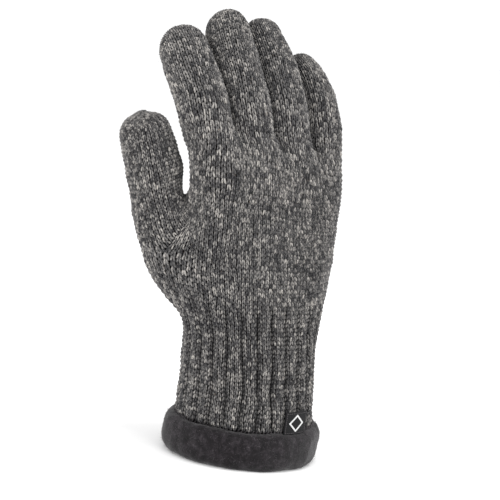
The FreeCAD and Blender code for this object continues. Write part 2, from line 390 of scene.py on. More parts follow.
# ease the cage where the thumb leaves the hand, so the web between them is one soft saddle
ease = {}
kept = {}      # these stay outside the thumb's own foot
for k in range(4, rows - 1):
    for j in range(handColumns):
        near = max(holeLow - k, 2 * (k - holeHigh), 0) + max(holeFirst - j, j - holeLast, 0)
        if near <= 4:
            ease[ringIds[k][j]] = (1.0, 0.8, 0.55, 0.3, 0.12)[near]
            if k <= holeLow:
                kept[ringIds[k][j]] = hemZ + (handTop - 4 * mm - hemZ) * k / rows
for row, weight in enumerate((0.85, 0.5, 0.2)):
    for index in thumbIds[row]:
        ease[index] = weight
thumbSkin = [index for row in thumbIds[:3] for index in row]
thumbSkin += [ringIds[k][j] for k, j in holeLoop]
neighbours = {index: set() for index in ease}
for corners, *_ in cage.faces:
    for i, index in enumerate(corners):
        if index in neighbours:
            neighbours[index].update((corners[i - 1], corners[(i + 1) % 4]))
for _ in range(glove["easeSteps"]):
    moved = {}
    for index, weight in ease.items():
        around = neighbours[index]
        if not around:
            continue
        middle = sum((cage.points[i] for i in around), Vector()) / len(around)
        moved[index] = cage.points[index].lerp(middle, 0.5 * weight)
    for index, point in moved.items():
        cage.points[index] = outOfThumb(point, kept[index]) if index in kept else point
    for index in thumbSkin:      # the outer side keeps its full roundness
        offset = cage.points[index] - thumbFoot
        s = offset.dot(thumbAlong)
        away = offset - thumbAlong * s
        full = thumbRadius(s) * cageSize(thumbColumns)
        if away.length < full and away.dot(thumbSide) < 0.2 * full:
            cage.points[index] = thumbFoot + thumbAlong * s + away.normalized() * full
print("cage", len(cage.points), "points", len(cage.faces), "faces")

scene = bpy.context.scene


def showObject(name, mesh):
    holder = bpy.data.objects.new(name, mesh)
    scene.collection.objects.link(holder)
    return holder


def smoothCage():
    # subdivides the cage and gives back its points, normals and which of them each face holds
    mesh = bpy.data.meshes.new("cage")
    mesh.from_pydata(cage.points, [], [face[0] for face in cage.faces])
    tiles = mesh.uv_layers.new(name="tiles")
    for face in mesh.polygons:
        for loopIndex, (u, v) in zip(face.loop_indices, ((0, 0), (1, 0), (1, 1), (0, 1))):
            tiles.data[loopIndex].uv = (2 * face.index + u, v)
    holder = showObject("cage", mesh)
    modifier = holder.modifiers.new("smooth", "SUBSURF")
    modifier.levels = modifier.render_levels = 2
    modifier.uv_smooth = "NONE"
    evaluated = holder.evaluated_get(bpy.context.evaluated_depsgraph_get())
    fine = bpy.data.meshes.new_from_object(evaluated)
    points = np.empty(len(fine.vertices) * 3, np.float32)
    fine.vertices.foreach_get("co", points)
    normals = np.empty(len(fine.vertices) * 3, np.float32)
    fine.vertex_normals.foreach_get("vector", normals)
    corner = np.empty(len(fine.loops), np.int32)
    fine.loops.foreach_get("vertex_index", corner)
    uv = np.empty(len(fine.loops) * 2, np.float32)
    fine.uv_layers["tiles"].data.foreach_get("uv", uv)
    uv = uv.reshape(-1, 2)
    face = np.floor((uv[:, 0] + 0.05) / 2).astype(int)
    across = np.rint((uv[:, 0] - 2 * face) * cells).astype(int)
    up = np.rint(uv[:, 1] * cells).astype(int)
    grid = np.zeros((len(cage.faces), cells + 1, cells + 1), np.int64)
    grid[face, up, across] = corner
    bpy.data.objects.remove(holder)
    bpy.data.meshes.remove(fine)
    bpy.data.meshes.remove(mesh)
    return points.reshape(-1, 3).astype(float), normals.reshape(-1, 3).astype(float), grid


surface, outward, grid = smoothCage()

# the hand-made look: the fabric is never quite even
for i, point in enumerate(surface):
    lump = 0.75 * mm * noise.noise(Vector(point) * 45) + 0.45 * mm * noise.noise(Vector(point) * 130)
    aside = np.array((-outward[i][1], outward[i][0], 0)) * glove["waver"]
    sway = noise.noise(Vector(point) * 60 + Vector((9, 0, 0))) + 0.6 * noise.noise(Vector(point) * 150)
    surface[i] = point + outward[i] * lump + aside * sway
print("smooth surface", len(surface), "points")


def meshOf(name, points, runs):
    # each run repeats one small shape: (first point, its faces, points per copy, copies)
    mesh = bpy.data.meshes.new(name)
    corners = []
    sizes = []
    for first, shape, stride, count in runs:
        flat = np.concatenate([np.array(face) for face in shape])
        steps = first + stride * np.arange(count)
        corners.append((flat[None, :] + steps[:, None]).ravel())
        sizes.append(np.tile([len(face) for face in shape], count))
    corners = np.concatenate(corners).astype(np.int32)
    sizes = np.concatenate(sizes).astype(np.int32)
    mesh.vertices.add(len(points))
    mesh.vertices.foreach_set("co", np.asarray(points, np.float32).ravel())
    mesh.loops.add(len(corners))
    mesh.loops.foreach_set("vertex_index", corners)
    mesh.polygons.add(len(sizes))
    mesh.polygons.foreach_set("loop_start", (np.cumsum(sizes) - sizes).astype(np.int32))
    mesh.polygons.foreach_set("use_smooth", np.ones(len(sizes), bool))
    mesh.update(calc_edges=True)
    return mesh


def giveValue(mesh, name, values):
    layer = mesh.attributes.new(name, "FLOAT", "POINT")
    layer.data.foreach_set("value", np.asarray(values, np.float32))


def giveUv(mesh, cornerUv):
    layer = mesh.uv_layers.new(name="yarn")
    layer.data.foreach_set("uv", np.asarray(cornerUv, np.float32).ravel())


def strandShape(sides, cuts, place, legs=1):
    # a short capped tube whose rings are moved to where place(leg, share, turn) says
    form = bmesh.new()
    points = []
    faces = []
    uv = []
    for leg in range(legs):
        made = bmesh.ops.create_cone(form, cap_ends=True, cap_tris=False, segments=sides,
                                     radius1=1, radius2=1, depth=1)["verts"]
        long = [edge for edge in form.edges
                if edge.verts[0] in made and abs(edge.verts[0].co.z - edge.verts[1].co.z) > 0.5]
        bmesh.ops.subdivide_edges(form, edges=long, cuts=cuts, use_grid_fill=True)
        start = len(points)
        form.verts.ensure_lookup_table()
        for vert in list(form.verts)[start:]:
            points.append((vert.co.z + 0.5, math.atan2(vert.co.y, vert.co.x), leg))
            vert.co = place(leg, vert.co.z + 0.5, math.atan2(vert.co.y, vert.co.x))
    bmesh.ops.recalc_face_normals(form, faces=form.faces)
    form.verts.index_update()
    for face in form.faces:
        faces.append([vert.index for vert in face.verts])
        turns = [points[vert.index][1] / (2 * math.pi) % 1 for vert in face.verts]
        if len(turns) == 4 and max(turns) - min(turns) > 0.5:
            turns = [turn + 1 if turn < 0.5 else turn for turn in turns]
        uv += [(turn, points[vert.index][0]) for turn, vert in zip(turns, face.verts)]
    shape = np.array([vert.co for vert in form.verts])
    form.free()
    return shape, faces, np.array(uv), np.array(points)


# one knit stitch: two plump legs that meet at the top, in cells across, cells up and metres out
stitch = {
    "share": [0, 0.25, 0.5, 0.75, 1],
    "across": [0.07, 0.14, 0.225, 0.30, 0.34],
    "up": [1.22, 0.94, 0.52, 0.12, -0.22],
    "out": [-0.55, 0.22, 0.55, 0.25, -0.55],
    "plump": [0.62, 0.98, 1.08, 0.98, 0.6],
    "halfWidth": 0.185, "halfDepth": 0.62 * mm, "size": 2.5 * mm,
    "ribDepth": 2.9 * mm, "backing": 0.9 * mm, "backingWall": 1.4 * mm,
    "hairs": 11, "hairLength": 2.6 * mm, "hairRadius": 0.045 * mm,
}


def placeLeg(leg, share, turn):
    side = 1 if leg else -1
    across = 0.5 + side * np.interp(share, stitch["share"], stitch["across"])
    up = np.interp(share, stitch["share"], stitch["up"])
    out = np.interp(share, stitch["share"], stitch["out"]) * mm
    plump = np.interp(share, stitch["share"], stitch["plump"])
    wide = stitch["halfWidth"] * plump * math.cos(turn)
    return Vector((across + wide * 0.97, up + side * wide * 0.22,
                   out + stitch["halfDepth"] * plump * math.sin(turn)))


stitchShape, stitchFaces, stitchUv, stitchPlaces = strandShape(5, 3, placeLeg, legs=2)
hairShape, hairFaces, hairUv, hairPlaces = strandShape(
    3, 1, lambda leg, share, turn: Vector((math.cos(turn), math.sin(turn), share)))


def hairs(roots, ways, length, radius, rng):
    # fine bent fibres standing off a surface
    count = len(roots)
    side = rng.normal(size=(count, 3))
    side -= ways * np.sum(side * ways, 1)[:, None]
    side /= np.linalg.norm(side, axis=1)[:, None]
    other = np.cross(ways, side)
    long = (length * rng.uniform(0.45, 1.25, count))[:, None, None]
    bend = rng.uniform(0.15, 1.5, count)[:, None, None]
    share = hairPlaces[:, 0][None, :, None]
    thin = radius * (1.05 - 0.8 * share)
    middle = (roots[:, None] + ways[:, None] * long * share * 0.62
              + side[:, None] * long * bend * share ** 2 * 0.75)
    ring = (side[:, None] * np.cos(hairPlaces[:, 1])[None, :, None]
            + other[:, None] * np.sin(hairPlaces[:, 1])[None, :, None])
    return middle + ring * thin


def ribLift(row, column, across, up):
    # how deep the fabric sinks between ribs; it fades out above the wrist
    fade = 1 - smooth((row + up / cells - 6.1) / 1.9)
    place = (column + across / cells) * 0.9
    uneven = 1 + 0.35 * noise.noise(Vector((place, (row + up / cells) * 0.55, 7)))
    return -stitch["ribDepth"] * fade * uneven * (1, 0.22, 0, 0.2, 1)[across]


lifts = np.zeros((len(cage.faces), cells + 1, cells + 1))
for f, (corners, piece, row, column) in enumerate(cage.faces):
    if piece in ("cuff", "wrist", "hand"):
        for up in range(cells + 1):
            for across in range(cells + 1):
                lifts[f, up, across] = ribLift(row, column, across, up)


def knit(name, faceIds, seed):
    rng = np.random.default_rng(seed)
    ids = grid[faceIds]
    lift = lifts[faceIds]
    parts = []
    for values in (surface[ids], outward[ids], lift[..., None]):
        parts.append([values[:, :-1, :-1].reshape(-1, values.shape[-1]),
                      values[:, :-1, 1:].reshape(-1, values.shape[-1]),
                      values[:, 1:, :-1].reshape(-1, values.shape[-1]),
                      values[:, 1:, 1:].reshape(-1, values.shape[-1])])
    corner, normal, sink = parts
    count = len(corner[0])
    wide = np.linalg.norm(corner[1] - corner[0], axis=1) + np.linalg.norm(corner[3] - corner[2], axis=1)
    size = np.clip(wide / 2 / stitch["size"], 0.2, 1.15)
    across = stitchShape[None, :, 0] + rng.normal(0, 0.03, (count, 1))
    up = stitchShape[None, :, 1] + rng.normal(0, 0.05, (count, 1))
    plump = rng.uniform(0.86, 1.16, (count, 1))
    across = 0.5 + (across - 0.5) * rng.uniform(0.93, 1.07, (count, 1))
    weights = [(1 - across) * (1 - up), across * (1 - up), (1 - across) * up, across * up]
    middle = sum(w[..., None] * c[:, None] for w, c in zip(weights, corner))
    away = sum(w[..., None] * n[:, None] for w, n in zip(weights, normal))
    away /= np.linalg.norm(away, axis=2)[..., None]
    sunk = sum(w * s for w, s in zip(weights, sink))
    out = stitchShape[None, :, 2] * plump * size[:, None] + sunk
    points = middle + away * out[..., None]

    shell = bmesh.new()
    used, places = np.unique(ids, return_inverse=True)
    places = places.reshape(ids.shape)
    sunkAt = np.zeros(len(used))
    sunkAt[places.ravel()] = lift.ravel()
    for index, drop in zip(used, sunkAt):
        shell.verts.new(surface[index] + outward[index] * (drop - stitch["backing"]))
    shell.verts.ensure_lookup_table()
    for face in places:
        for i in range(cells):
            for j in range(cells):
                quad = (face[i, j], face[i, j + 1], face[i + 1, j + 1], face[i + 1, j])
                shell.faces.new([shell.verts[q] for q in quad])
    bmesh.ops.solidify(shell, geom=shell.faces[:], thickness=stitch["backingWall"])
    bmesh.ops.recalc_face_normals(shell, faces=shell.faces)
    shell.verts.index_update()
    shellPoints = np.array([vert.co for vert in shell.verts])
    shellFaces = [[vert.index for vert in face.verts] for face in shell.faces]
    shell.free()

    hairCount = stitch["hairs"] * len(faceIds)
    pick = rng.integers(0, count, hairCount)
    a, b = rng.uniform(0, 1, (2, hairCount, 1))
    roots = (corner[0][pick] * (1 - a) * (1 - b) + corner[1][pick] * a * (1 - b)
             + corner[2][pick] * (1 - a) * b + corner[3][pick] * a * b)
    ways = normal[0][pick] + rng.normal(0, 0.45, (hairCount, 3))
    ways /= np.linalg.norm(ways, axis=1)[:, None]
    roots = roots + normal[0][pick] * (sink[0][pick] + 0.5 * mm * size[pick][:, None])
    hairPoints = hairs(roots, ways, stitch["hairLength"], stitch["hairRadius"], rng)

    each = len(stitchShape)
    everything = np.concatenate([points.reshape(-1, 3), hairPoints.reshape(-1, 3), shellPoints])
    firstHair = count * each
    firstShell = firstHair + hairCount * len(hairShape)
    mesh = meshOf(name, everything, [
        (0, stitchFaces, each, count), (firstHair, hairFaces, len(hairShape), hairCount),
        (firstShell, shellFaces, 0, 1)])
    legTone = rng.normal(0, 0.22, (count, 2))[:, stitchPlaces[:, 2].astype(int)]
    tone = np.clip(0.5 + rng.normal(0, 0.14, (count, 1)) + legTone, 0, 1)
    # painted shade: the depth of each stitch point, lower at the tucked leg ends and down in the rib
    # grooves, darkens the wool colour where shade would fall
    depth = np.clip(0.42 + stitchShape[None, :, 2] / (2.1 * mm) + sunk / (7.6 * mm), 0.05, 1)
    # painted shade: the hairs keep most of their colour, while the backing sheet behind the stitches gets a
    # low tone here and the lowest depth below, so it is coloured nearly black in the gaps
    giveValue(mesh, "tone", np.concatenate([
        tone.ravel(), np.repeat(rng.uniform(0.35, 1, hairCount), len(hairShape)),
        np.full(len(shellPoints), 0.3)]))
    giveValue(mesh, "depth", np.concatenate([
        np.broadcast_to(depth, (count, each)).ravel(), np.full(hairCount * len(hairShape), 0.9),
        np.full(len(shellPoints), 0.04)]))
    shift = np.stack([np.zeros(count), rng.uniform(0, 40, count)], 1)
    shellUv = np.zeros((sum(len(face) for face in shellFaces), 2))
    giveUv(mesh, np.concatenate([
        (stitchUv[None] + shift[:, None]).reshape(-1, 2), np.tile(hairUv, (hairCount, 1)), shellUv]))
    mesh.materials.append(marlWool)
    return showObject(name, mesh)


def line(name, faceIds):
    # the fleece that lines one stretch of the glove, as a thin closed sheet
    ids = grid[faceIds]
    sheet = bmesh.new()
    used, places = np.unique(ids, return_inverse=True)
    places = places.reshape(ids.shape)
    for index in used:
        sheet.verts.new(surface[index] - outward[index] * fleece["depth"])
    sheet.verts.ensure_lookup_table()
    for face in places:
        for i in range(cells):
            for j in range(cells):
                quad = (face[i, j], face[i, j + 1], face[i + 1, j + 1], face[i + 1, j])
                sheet.faces.new([sheet.verts[q] for q in quad])
    bmesh.ops.solidify(sheet, geom=sheet.faces[:], thickness=fleece["thickness"])
    bmesh.ops.recalc_face_normals(sheet, faces=sheet.faces)
    mesh = bpy.data.meshes.new(name)
    for face in sheet.faces:
        face.smooth = True
    sheet.to_mesh(mesh)
    sheet.free()
    mesh.materials.append(napFleece)
    return showObject(name, mesh)


fleece = {"depth": 3.3 * mm, "thickness": 1.5 * mm, "hairs": 11000, "hairLength": 2.0 * mm,
          "hairRadius": 0.04 * mm}


def newMaterial(name):
    material = bpy.data.materials.new(name)
    material.use_nodes = True
    nodes = material.node_tree.nodes
    return material, nodes, material.node_tree.links, nodes["Principled BSDF"]


def rampOf(nodes, stops):
    ramp = nodes.new("ShaderNodeValToRGB")
    while len(ramp.color_ramp.elements) < len(stops):
        ramp.color_ramp.elements.new(0.5)
    for element, (place, colour) in zip(ramp.color_ramp.elements, stops):
        element.position = place
        element.color = (*colour, 1)
    return ramp


def noiseOf(nodes, scale, detail=2.0, rough=0.6):
    texture = nodes.new("ShaderNodeTexNoise")
    texture.inputs["Scale"].default_value = scale
    texture.inputs["Detail"].default_value = detail
    texture.inputs["Roughness"].default_value = rough
    return texture


def mathOf(nodes, links, operation, first, second):
    step = nodes.new("ShaderNodeMath")
    step.operation = operation
    for socket, value in zip(step.inputs, (first, second)):
        if isinstance(value, (int, float)):
            socket.default_value = value
        else:
            links.new(value, socket)
    return step.outputs[0]


def makeFibreGroup():
    # fine fibres running along a yarn, twisted: a mask and a height
    group = bpy.data.node_groups.new("fibres", "ShaderNodeTree")
    group.interface.new_socket("Vector", in_out="INPUT", socket_type="NodeSocketVector")
    group.interface.new_socket("Scale", in_out="INPUT", socket_type="NodeSocketFloat")
    group.interface.new_socket("Mask", in_out="OUTPUT", socket_type="NodeSocketFloat")
    group.interface.new_socket("Height", in_out="OUTPUT", socket_type="NodeSocketFloat")
    nodes, links = group.nodes, group.links
    source = nodes.new("NodeGroupInput")
    result = nodes.new("NodeGroupOutput")
    fine = noiseOf(nodes, 1.0, 3.0, 0.7)
    coarse = noiseOf(nodes, 1.0, 1.0, 0.5)
    links.new(source.outputs["Vector"], fine.inputs["Vector"])
    links.new(source.outputs["Vector"], coarse.inputs["Vector"])
    links.new(source.outputs["Scale"], fine.inputs["Scale"])
    links.new(mathOf(nodes, links, "MULTIPLY", source.outputs["Scale"], 0.3), coarse.inputs["Scale"])
    mask = mathOf(nodes, links, "ADD", mathOf(nodes, links, "MULTIPLY", fine.outputs["Fac"], 0.6),
                  mathOf(nodes, links, "MULTIPLY", coarse.outputs["Fac"], 0.4))
    links.new(mask, result.inputs["Mask"])
    links.new(fine.outputs["Fac"], result.inputs["Height"])
    return group


fibreGroup = makeFibreGroup()


def makeMarlWool():
    material, nodes, links, shader = newMaterial("marlWool")
    uv = nodes.new("ShaderNodeUVMap")
    uv.uv_map = "yarn"
    stretch = nodes.new("ShaderNodeMapping")
    stretch.inputs["Scale"].default_value = (8, 1.6, 1)
    stretch.inputs["Rotation"].default_value = (0, 0, math.radians(24))
    links.new(uv.outputs["UV"], stretch.inputs["Vector"])
    strands = nodes.new("ShaderNodeGroup")
    strands.node_tree = fibreGroup
    strands.inputs["Scale"].default_value = 1.4
    links.new(stretch.outputs["Vector"], strands.inputs["Vector"])
    tone = nodes.new("ShaderNodeAttribute")
    tone.attribute_name = "tone"
    # depth carries the painted shade laid on each stitch point
    depth = nodes.new("ShaderNodeAttribute")
    depth.attribute_name = "depth"
    place = nodes.new("ShaderNodeTexCoord")
    flecks = noiseOf(nodes, 850, 2.0, 0.8)
    links.new(place.outputs["Object"], flecks.inputs["Vector"])
    clouds = noiseOf(nodes, 55, 2.0)
    links.new(place.outputs["Object"], clouds.inputs["Vector"])
    # lightness of the marl: each stitch has its own, with flecks and fibres over it
    light = mathOf(nodes, links, "MULTIPLY", tone.outputs["Fac"], 0.56)
    light = mathOf(nodes, links, "ADD", light,
                   mathOf(nodes, links, "MULTIPLY", flecks.outputs["Fac"], 1.32))
    light = mathOf(nodes, links, "ADD", light,
                   mathOf(nodes, links, "MULTIPLY", strands.outputs["Mask"], 2.0))
    light = mathOf(nodes, links, "ADD", light,
                   mathOf(nodes, links, "MULTIPLY", clouds.outputs["Fac"], 0.35))
    light = mathOf(nodes, links, "SUBTRACT", light, 1.62)
    ramp = rampOf(nodes, [(0.10, (0.014, 0.014, 0.016)), (0.34, (0.050, 0.049, 0.051)),
                          (0.60, (0.150, 0.144, 0.140)), (0.95, (0.44, 0.415, 0.385))])
    links.new(light, ramp.inputs["Fac"])
    # a few tan fibres in the mix
    tan = noiseOf(nodes, 900, 2.0, 0.8)
    links.new(place.outputs["Object"], tan.inputs["Vector"])
    tanMask = rampOf(nodes, [(0.66, (0, 0, 0)), (0.74, (1, 1, 1))])
    links.new(tan.outputs["Fac"], tanMask.inputs["Fac"])
    mixTan = nodes.new("ShaderNodeMix")
    mixTan.data_type = "RGBA"
    mixTan.inputs["B"].default_value = (0.24, 0.17, 0.11, 1)
    links.new(mathOf(nodes, links, "MULTIPLY", tanMask.outputs["Color"], 0.55), mixTan.inputs["Factor"])
    links.new(ramp.outputs["Color"], mixTan.inputs["A"])
    # painted shade: the colour is darkened by the depth attribute, to nearly black in the gaps between
    # stitches, in the rib grooves and on the backing sheet
    shade = rampOf(nodes, [(0.0, (0.02, 0.02, 0.02)), (0.34, (0.11, 0.11, 0.12)),
                           (0.72, (0.95, 0.95, 0.95))])
    links.new(depth.outputs["Fac"], shade.inputs["Fac"])
    darken = nodes.new("ShaderNodeMix")
    darken.data_type = "RGBA"
    darken.blend_type = "MULTIPLY"
    darken.inputs["Factor"].default_value = 1
    links.new(mixTan.outputs["Result"], darken.inputs["A"])
    links.new(shade.outputs["Color"], darken.inputs["B"])
    links.new(darken.outputs["Result"], shader.inputs["Base Color"])
    bump = nodes.new("ShaderNodeBump")
    bump.inputs["Strength"].default_value = 0.7
    bump.inputs["Distance"].default_value = 0.25 * mm
    links.new(strands.outputs["Height"], bump.inputs["Height"])
    links.new(bump.outputs["Normal"], shader.inputs["Normal"])
    rough = mathOf(nodes, links, "ADD",
                   mathOf(nodes, links, "MULTIPLY", strands.outputs["Mask"], 0.2), 0.78)
    links.new(rough, shader.inputs["Roughness"])
    shader.inputs["Specular IOR Level"].default_value = 0.2
    shader.inputs["Sheen Weight"].default_value = 0.12
    shader.inputs["Sheen Roughness"].default_value = 0.5
    return material


def makeNapFleece():
    material, nodes, links, shader = newMaterial("napFleece")
    place = nodes.new("ShaderNodeTexCoord")
    nap = nodes.new("ShaderNodeGroup")
    nap.node_tree = fibreGroup
    nap.inputs["Scale"].default_value = 900
    links.new(place.outputs["Object"], nap.inputs["Vector"])
    patches = noiseOf(nodes, 120, 3.0)
    links.new(place.outputs["Object"], patches.inputs["Vector"])
    light = mathOf(nodes, links, "ADD", mathOf(nodes, links, "MULTIPLY", nap.outputs["Mask"], 1.0),
                   mathOf(nodes, links, "MULTIPLY", patches.outputs["Fac"], 0.2))
    ramp = rampOf(nodes, [(0.34, (0.003, 0.0025, 0.003)), (0.50, (0.0095, 0.0078, 0.0092)),
                          (0.68, (0.034, 0.029, 0.033)), (1.0, (0.20, 0.18, 0.19))])
    tone = nodes.new("ShaderNodeAttribute")      # the loose fibres are lighter than the nap
    tone.attribute_name = "tone"
    light = mathOf(nodes, links, "ADD", light, mathOf(nodes, links, "MULTIPLY", tone.outputs["Fac"], 0.45))
    light = mathOf(nodes, links, "SUBTRACT", light, 0.1)
    links.new(light, ramp.inputs["Fac"])
    links.new(ramp.outputs["Color"], shader.inputs["Base Color"])
    bump = nodes.new("ShaderNodeBump")
    bump.inputs["Strength"].default_value = 0.9
    bump.inputs["Distance"].default_value = 0.35 * mm
    links.new(nap.outputs["Height"], bump.inputs["Height"])
    links.new(bump.outputs["Normal"], shader.inputs["Normal"])
    rough = mathOf(nodes, links, "ADD", mathOf(nodes, links, "MULTIPLY", nap.outputs["Mask"], 0.15), 0.82)
    links.new(rough, shader.inputs["Roughness"])
    shader.inputs["Specular IOR Level"].default_value = 0.15
    shader.inputs["Sheen Weight"].default_value = 0.22
    shader.inputs["Sheen Roughness"].default_value = 0.45
    return material


def makeWoven(name, dark, light, size):
    # a fine plain weave for the label and the threads
    material, nodes, links, shader = newMaterial(name)
    place = nodes.new("ShaderNodeTexCoord")
    waves = []
    for direction in ("X", "Z"):
        wave = nodes.new("ShaderNodeTexWave")
        wave.bands_direction = direction
        wave.inputs["Scale"].default_value = size
        wave.inputs["Distortion"].default_value = 0.6
        links.new(place.outputs["Object"], wave.inputs["Vector"])
        waves.append(wave.outputs["Fac"])
    cloth = mathOf(nodes, links, "MULTIPLY", waves[0], waves[1])
    fuzz = noiseOf(nodes, 700, 2.0)
    links.new(place.outputs["Object"], fuzz.inputs["Vector"])
    mixed = mathOf(nodes, links, "ADD", mathOf(nodes, links, "MULTIPLY", cloth, 0.6),
                   mathOf(nodes, links, "MULTIPLY", fuzz.outputs["Fac"], 0.5))
    ramp = rampOf(nodes, [(0.15, dark), (0.8, light)])
    links.new(mixed, ramp.inputs["Fac"])
    links.new(ramp.outputs["Color"], shader.inputs["Base Color"])
    bump = nodes.new("ShaderNodeBump")
    bump.inputs["Strength"].default_value = 0.6
    bump.inputs["Distance"].default_value = 0.12 * mm
    links.new(cloth, bump.inputs["Height"])
    links.new(bump.outputs["Normal"], shader.inputs["Normal"])
    links.new(mathOf(nodes, links, "ADD", mathOf(nodes, links, "MULTIPLY", cloth, 0.2), 0.55),
              shader.inputs["Roughness"])
    shader.inputs["Sheen Weight"].default_value = 0.02
    shader.inputs["Specular IOR Level"].default_value = 0.15
    return material


marlWool = makeMarlWool()
napFleece = makeNapFleece()
blackWeave = makeWoven("blackWeave", (0.0015, 0.0015, 0.002), (0.007, 0.007, 0.008), 260)
whiteWeave = makeWoven("whiteWeave", (0.42, 0.42, 0.42), (0.85, 0.85, 0.84), 420)
greyThread = makeWoven("greyThread", (0.020, 0.018, 0.020), (0.11, 0.10, 0.105), 520)
print("materials")


def facesOf(piece, columns=None):
    return [f for f, (corners, owner, row, column) in enumerate(cage.faces)
            if owner == piece and (columns is None or column in columns)]


# piece, cage faces, its two bodies and where it starts and stops bending, what it stands for
wrist = hinge("wrist_bend")
wristReach = Vector((0, 0, 15 * mm))
cloths = [("cuff_rib", facesOf("cuff"), "cuff", None, None, "cuff"),
          ("wrist_rib", facesOf("wrist"), "cuff", "hand", (wrist - wristReach, wrist + wristReach), "hand"),
          ("back_of_hand", facesOf("hand", range(16, 25)), "hand", None, None, "hand"),
          ("thumb_side", facesOf("hand", range(0, 8)), "hand", None, None, "hand"),
          ("palm_side", facesOf("hand", range(8, 16)), "hand", None, None, "hand")]
for name in fingerNames:
    info = fingerPaths[name]
    bodies = ["hand"] + [f"{name}_{part}" for part in fingerParts]
    for i, part in enumerate(fingerParts):
        s = info["places"][i]
        reach = (9.5, 10, 8)[i] * mm
        ends = [pathAt(info["path"], s - reach)[0], pathAt(info["path"], s + reach)[0]]
        cloths.append((f"{name}_{part}_sleeve", facesOf(f"{name}_{part}"), bodies[i], bodies[i + 1], ends,
                       f"{name}_{part}"))
for part, s, reach, before in (("root", thumb["foot"], 10 * mm, "hand"),
                               ("tip", thumb["tip"], 6 * mm, "thumb_root")):
    ends = [thumbFoot + thumbAlong * (s - reach), thumbFoot + thumbAlong * (s + reach)]
    cloths.append((f"thumb_{part}_sleeve", facesOf(f"thumb_{part}"), before, f"thumb_{part}", ends,
                   f"thumb_{part}"))

knitNode = {"cuff": "cuff_rib_knit"}
for seed, (name, faceIds, first, second, ends, stem) in enumerate(cloths):
    for layer in ("knit", "lining"):
        piece = knit(name, faceIds, seed + 10) if layer == "knit" else line(f"{name}_lining", faceIds)
        if second is None:
            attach(piece, first)
        else:
            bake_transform(piece)
        node = knitNode.get(stem, f"{stem}_knit") if layer == "knit" else f"{stem}_lining"
        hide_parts(node)
print("knit and lining", len(cloths), "stretches")


# the turned-back lining: a fat soft ring of fleece round the opening
roll = {"halfX": 42.0 * mm, "halfY": 37.0 * mm, "height": 21.8 * mm, "outer": 5.4 * mm, "inner": -5.1 * mm,
        "lean": 0.6 * mm, "profilePoints": 40, "steps": 210, "square": 2.5}


def bendOval(x, y, halfX, halfY, circle):
    # moves a point of a round ring to an oval one, keeping how far it stands off the ring
    turn = math.atan2(y, x)
    off = math.hypot(x, y) - circle
    normal = Vector((math.cos(turn) / halfX, math.sin(turn) / halfY, 0)).normalized()
    return Vector((halfX * math.cos(turn), halfY * math.sin(turn), 0)) + normal * off, normal


def makeRoll():
    rng = np.random.default_rng(5)
    form = bmesh.new()
    circle = (roll["halfX"] + roll["halfY"]) / 2
    middle = (roll["outer"] + roll["inner"]) / 2
    half = (roll["outer"] - roll["inner"]) / 2
    tall = roll["height"] / 2
    ring = []
    for i in range(roll["profilePoints"]):
        turn = 2 * math.pi * i / roll["profilePoints"]
        c, s = math.cos(turn), math.sin(turn)
        power = 2 / roll["square"]
        x = middle + half * math.copysign(abs(c) ** power, c)
        z = tall + tall * math.copysign(abs(s) ** power, s)
        ring.append(form.verts.new((circle + x, 0, z)))
    for i in range(len(ring)):
        form.edges.new((ring[i - 1], ring[i]))
    bmesh.ops.spin(form, geom=form.verts[:] + form.edges[:], cent=(0, 0, 0), axis=(0, 0, 1),
                   angle=2 * math.pi, steps=roll["steps"], use_merge=True)
    bmesh.ops.recalc_face_normals(form, faces=form.faces)
    for vert in form.verts:
        x, y, z = vert.co
        place, normal = bendOval(x, y, roll["halfX"], roll["halfY"], circle)
        vert.co = place + Vector((-roll["lean"] * math.sin(math.pi * z / roll["height"]), 0, z))
    form.normal_update()
    for vert in form.verts:
        point = vert.co.copy()
        lump = (0.9 * mm * noise.noise(point * 60) + 0.45 * mm * noise.noise(point * 190)
                + 0.22 * mm * noise.noise(point * 600))
        vert.co = point + vert.normal * lump
        vert.co.z = max(vert.co.z, 0.1 * mm)
    form.normal_update()
    points = np.array([vert.co for vert in form.verts])
    normals = np.array([vert.normal for vert in form.verts])
    faces = [[vert.index for vert in face.verts] for face in form.faces]
    form.free()
    outer = np.nonzero((normals[:, 2] > -0.75) & (points[:, 2] > 0.8 * mm))[0]
    pick = rng.choice(outer, fleece["hairs"])
    ways = normals[pick] + rng.normal(0, 0.9, (len(pick), 3))
    ways /= np.linalg.norm(ways, axis=1)[:, None]
    jitter = rng.normal(0, 0.5 * mm, (len(pick), 3))
    jitter -= normals[pick] * np.sum(jitter * normals[pick], 1)[:, None]
    strands = hairs(points[pick] + jitter - normals[pick] * 0.15 * mm, ways, fleece["hairLength"],
                    fleece["hairRadius"], rng)
    mesh = meshOf("fleece_roll", np.concatenate([points, strands.reshape(-1, 3)]), [
        (0, faces, 0, 1), (len(points), hairFaces, len(hairShape), len(pick))])
    giveValue(mesh, "tone", np.concatenate([
        np.zeros(len(points)), np.repeat(rng.uniform(0, 1, len(pick)) ** 2, len(hairShape))]))
    mesh.materials.append(napFleece)
    piece = showObject("fleece_roll", mesh)
    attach(piece, "cuff")
    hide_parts("turned_back_lining")


makeRoll()
print("roll")

# the overlocked seam that holds the roll to the rib
seam = {"stitches": 120, "radius": 0.42 * mm, "halfX": 42.3 * mm, "halfY": 37.3 * mm, "low": 20.6 * mm,
        "high": 23.9 * mm}


